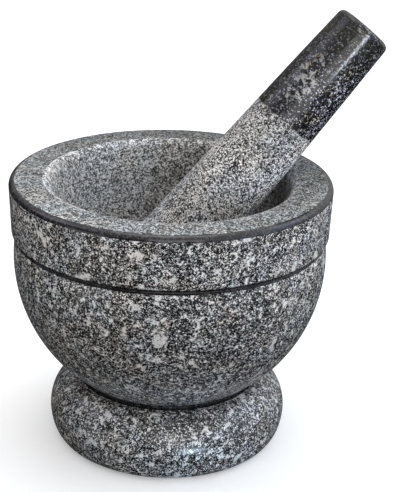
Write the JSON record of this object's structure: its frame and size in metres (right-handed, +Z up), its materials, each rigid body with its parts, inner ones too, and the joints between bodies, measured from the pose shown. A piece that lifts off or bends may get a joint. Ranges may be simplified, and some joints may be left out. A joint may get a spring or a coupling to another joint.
{
  "type": "mortar and pestle",
  "caption": "Turned granite mortar on a round foot, for grinding spices, with a loose tapered granite pestle leaning in its bowl.",
  "frame": {"origin": "centre of the foot's flat underside, on the surface that the mortar stands on", "axes": "+Z up along the mortar's turned axis, -Y towards the front, +X towards the side that the pestle leans to"},
  "size_m": [0.1731, 0.15, 0.2045],
  "materials": {
    "mortar_granite": "satin",
    "pestle_granite": "matte"
  },
  "bodies": {
    "mortar": {"mortar": "mortar_granite"},
    "pestle": {"pestle": "pestle_granite"}
  },
  "joints": [
    {"name": "pestle_lift", "type": "slide", "parent": "mortar", "child": "pestle", "axis": [0, 0, 1], "range_m": [0, 0.11]}
  ]
}
